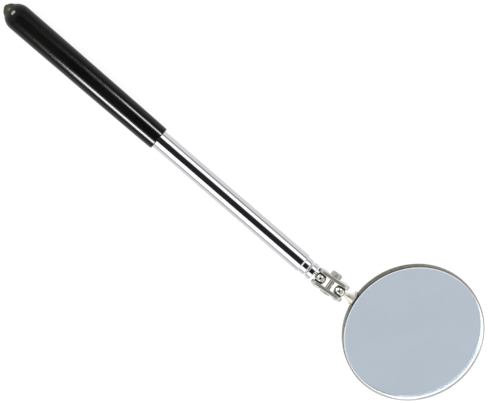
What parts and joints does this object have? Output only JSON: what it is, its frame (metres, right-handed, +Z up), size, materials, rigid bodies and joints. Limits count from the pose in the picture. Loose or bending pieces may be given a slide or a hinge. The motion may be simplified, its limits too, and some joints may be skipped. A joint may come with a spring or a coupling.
{
  "type": "telescoping inspection mirror",
  "caption": "Round inspection mirror on a double ball joint, at the end of a chromed telescopic handle with a black dipped vinyl grip, shown closed.",
  "frame": {"origin": "on the floor, under the middle of the object's box as it lies closed", "axes": "+X along the handle towards the mirror, +Z up, +Y to the left when looking along +X"},
  "size_m": [0.2342, 0.0572, 0.0234],
  "materials": {
    "black_vinyl": "glossy dip-moulded black vinyl",
    "chrome_tube": "bright chrome plate, drawn lengthways",
    "chrome_case": "bright chrome plate on stamped steel",
    "plated_clamp": "nickel-chrome plate on stamped steel, slightly dull",
    "bright_steel": "bright turned steel",
    "brass": "turned brass",
    "spring_bronze": "rolled phosphor-bronze strip",
    "nylon": "moulded natural nylon",
    "card": "grey-brown cushion card",
    "mirror_glass": "back-silvered glass, faint blue-grey"
  },
  "bodies": {
    "handle": {"grip": "black_vinyl", "outer_tube": "chrome_tube", "end_plug": "nylon"},
    "sleeve_2": {"friction_sleeve_2": "spring_bronze"},
    "stage_2": {"tube_2": "chrome_tube", "stop_collar_2": "brass"},
    "sleeve_3": {"friction_sleeve_3": "spring_bronze"},
    "stage_3": {"tube_3": "chrome_tube", "stop_collar_3": "brass"},
    "sleeve_4": {"friction_sleeve_4": "spring_bronze"},
    "stage_4": {"tube_4": "chrome_tube", "stop_collar_4": "brass"},
    "sleeve_5": {"friction_sleeve_5": "spring_bronze"},
    "stage_5": {"tube_5": "chrome_tube", "stop_collar_5": "brass", "end_ferrule": "chrome_tube", "ball_stud_1": "bright_steel"},
    "ball_1": {"ball_1": "bright_steel"},
    "clamp": {"clamp_plate_upper": "plated_clamp", "clamp_plate_lower": "plated_clamp", "clamp_nut": "bright_steel"},
    "clamp_screw": {"clamp_screw": "bright_steel"},
    "ball_2": {"ball_2": "bright_steel"},
    "ball_stud_2": {"ball_stud_2": "bright_steel"},
    "mirror_head": {"mirror_bracket": "chrome_case", "bracket_rivet_1": "bright_steel", "bracket_rivet_2": "bright_steel", "mirror_case": "chrome_case", "backing_pad": "card", "mirror_glass": "mirror_glass"}
  },
  "joints": [
    {"name": "stage_2_slide", "type": "slide", "parent": "handle", "child": "sleeve_2", "axis": [0.9959, 0, 0.0908], "range_m": [0, 0.1353]},
    {"name": "stage_2_spin", "type": "hinge", "parent": "sleeve_2", "child": "stage_2", "pos_m": [0.03798, -0.00596, 0.0189], "axis": [0.9959, 0, 0.0908], "continuous": true},
    {"name": "stage_3_slide", "type": "slide", "parent": "stage_2", "child": "sleeve_3", "axis": [0.9959, 0, 0.0908], "range_m": [0, 0.1295]},
    {"name": "stage_3_spin", "type": "hinge", "parent": "sleeve_3", "child": "stage_3", "pos_m": [0.03798, -0.00596, 0.0189], "axis": [0.9959, 0, 0.0908], "continuous": true},
    {"name": "stage_4_slide", "type": "slide", "parent": "stage_3", "child": "sleeve_4", "axis": [0.9959, 0, 0.0908], "range_m": [0, 0.121]},
    {"name": "stage_4_spin", "type": "hinge", "parent": "sleeve_4", "child": "stage_4", "pos_m": [0.03798, -0.00596, 0.0189], "axis": [0.9959, 0, 0.0908], "continuous": true},
    {"name": "stage_5_slide", "type": "slide", "parent": "stage_4", "child": "sleeve_5", "axis": [0.9959, 0, 0.0908], "range_m": [0, 0.1125]},
    {"name": "stage_5_spin", "type": "hinge", "parent": "sleeve_5", "child": "stage_5", "pos_m": [0.03798, -0.00596, 0.0189], "axis": [0.9959, 0, 0.0908], "continuous": true},
    {"name": "ball_1_tilt", "type": "hinge", "parent": "stage_5", "child": "ball_1", "pos_m": [0.04665, -0.00596, 0.01969], "axis": [-0.09, 0.1357, 0.9867], "range_deg": [-15.5, 2.5]},
    {"name": "ball_1_swing", "type": "hinge", "parent": "ball_1", "child": "clamp", "pos_m": [0.04665, -0.00596, 0.01969], "axis": [-0.1005, 0.9844, -0.1446], "range_deg": [-90, 90]},
    {"name": "clamp_screw_turn", "type": "hinge", "parent": "clamp", "child": "clamp_screw", "pos_m": [0.05111, -0.00546, 0.02003], "axis": [-0.1005, 0.9844, -0.1446], "range_deg": [-90, 90]},
    {"name": "ball_2_swing", "type": "hinge", "parent": "clamp", "child": "ball_2", "pos_m": [0.05556, -0.00495, 0.02036], "axis": [-0.1005, 0.9844, -0.1446], "range_deg": [-100.8, 59.2]},
    {"name": "ball_2_tilt", "type": "hinge", "parent": "ball_2", "child": "ball_stud_2", "pos_m": [0.05556, -0.00495, 0.02036], "axis": [0.2678, 0.1667, 0.949], "range_deg": [-16.8, 7.2]},
    {"name": "ball_2_roll", "type": "hinge", "parent": "ball_stud_2", "child": "mirror_head", "pos_m": [0.05556, -0.00495, 0.02036], "axis": [0.9465, 0.1388, -0.2914], "range_deg": [-180, 180]}
  ]
}
